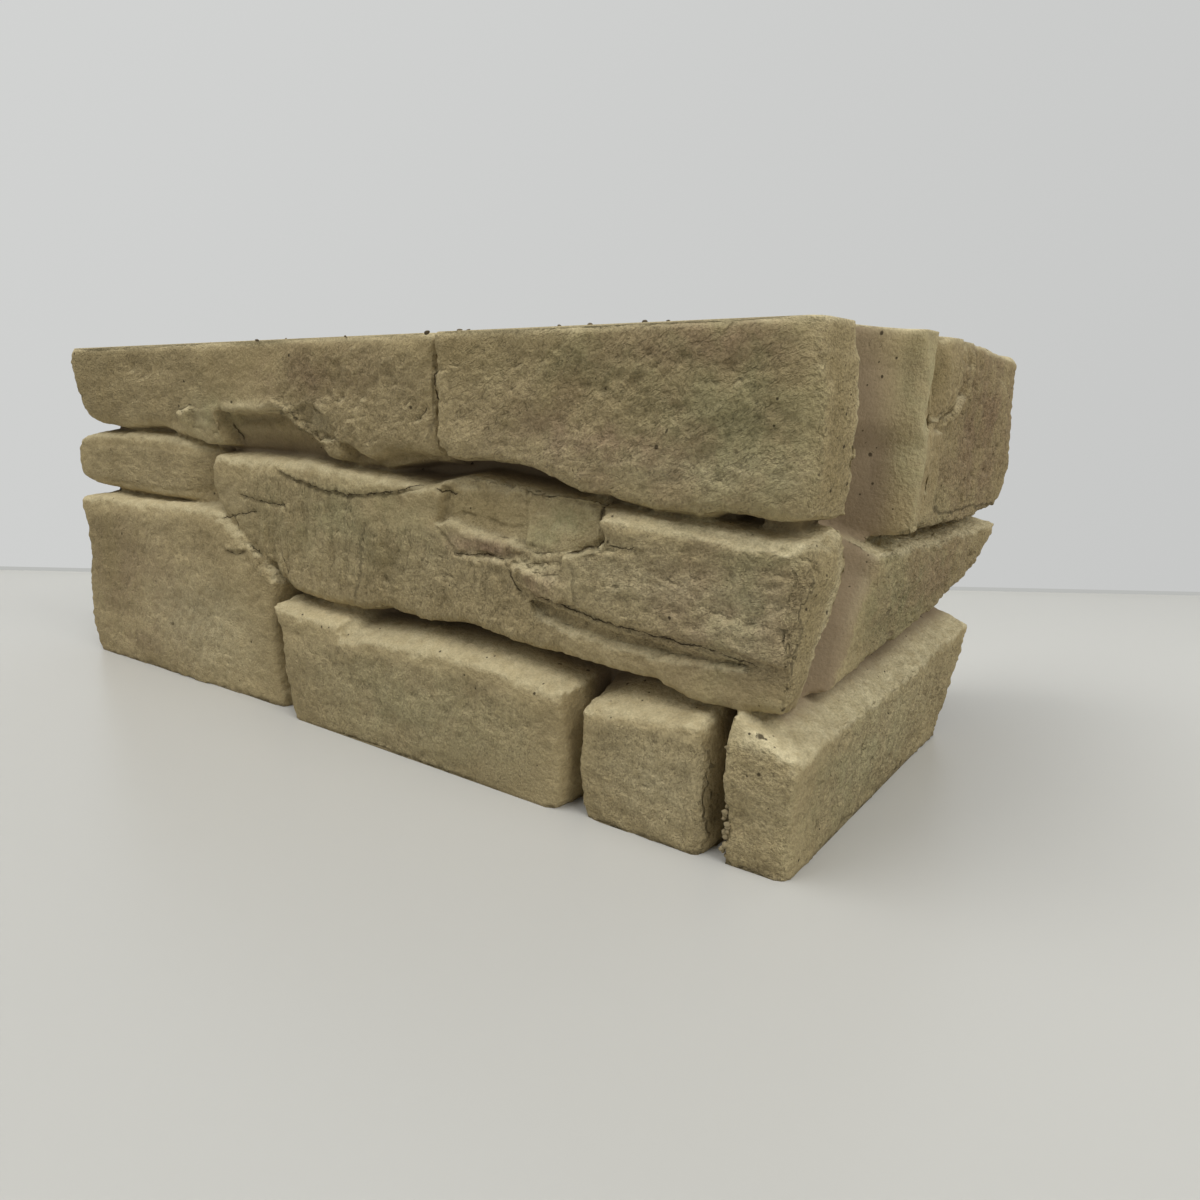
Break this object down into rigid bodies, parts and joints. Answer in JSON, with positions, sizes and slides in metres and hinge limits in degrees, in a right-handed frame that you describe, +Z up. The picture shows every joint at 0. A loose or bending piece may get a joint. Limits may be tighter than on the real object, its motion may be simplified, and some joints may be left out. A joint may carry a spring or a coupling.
{
  "type": "stone veneer corner piece",
  "caption": "L-shaped cast stone veneer corner piece with a dry-stacked ledgestone face on both legs and flat backs that seat on an outside wall corner.",
  "frame": {"origin": "foot of the inner corner, where the flat backs of the two legs meet the bottom bed", "axes": "+X along the long leg towards the corner, +Y along the short leg away from the long leg's face, +Z up"},
  "size_m": [0.5449, 0.2759, 0.2],
  "materials": {
    "cast_stone": "matte sandy beige cast concrete with a cleft sandstone texture"
  },
  "bodies": {
    "root": {"stone_corner": "cast_stone"}
  },
  "joints": []
}
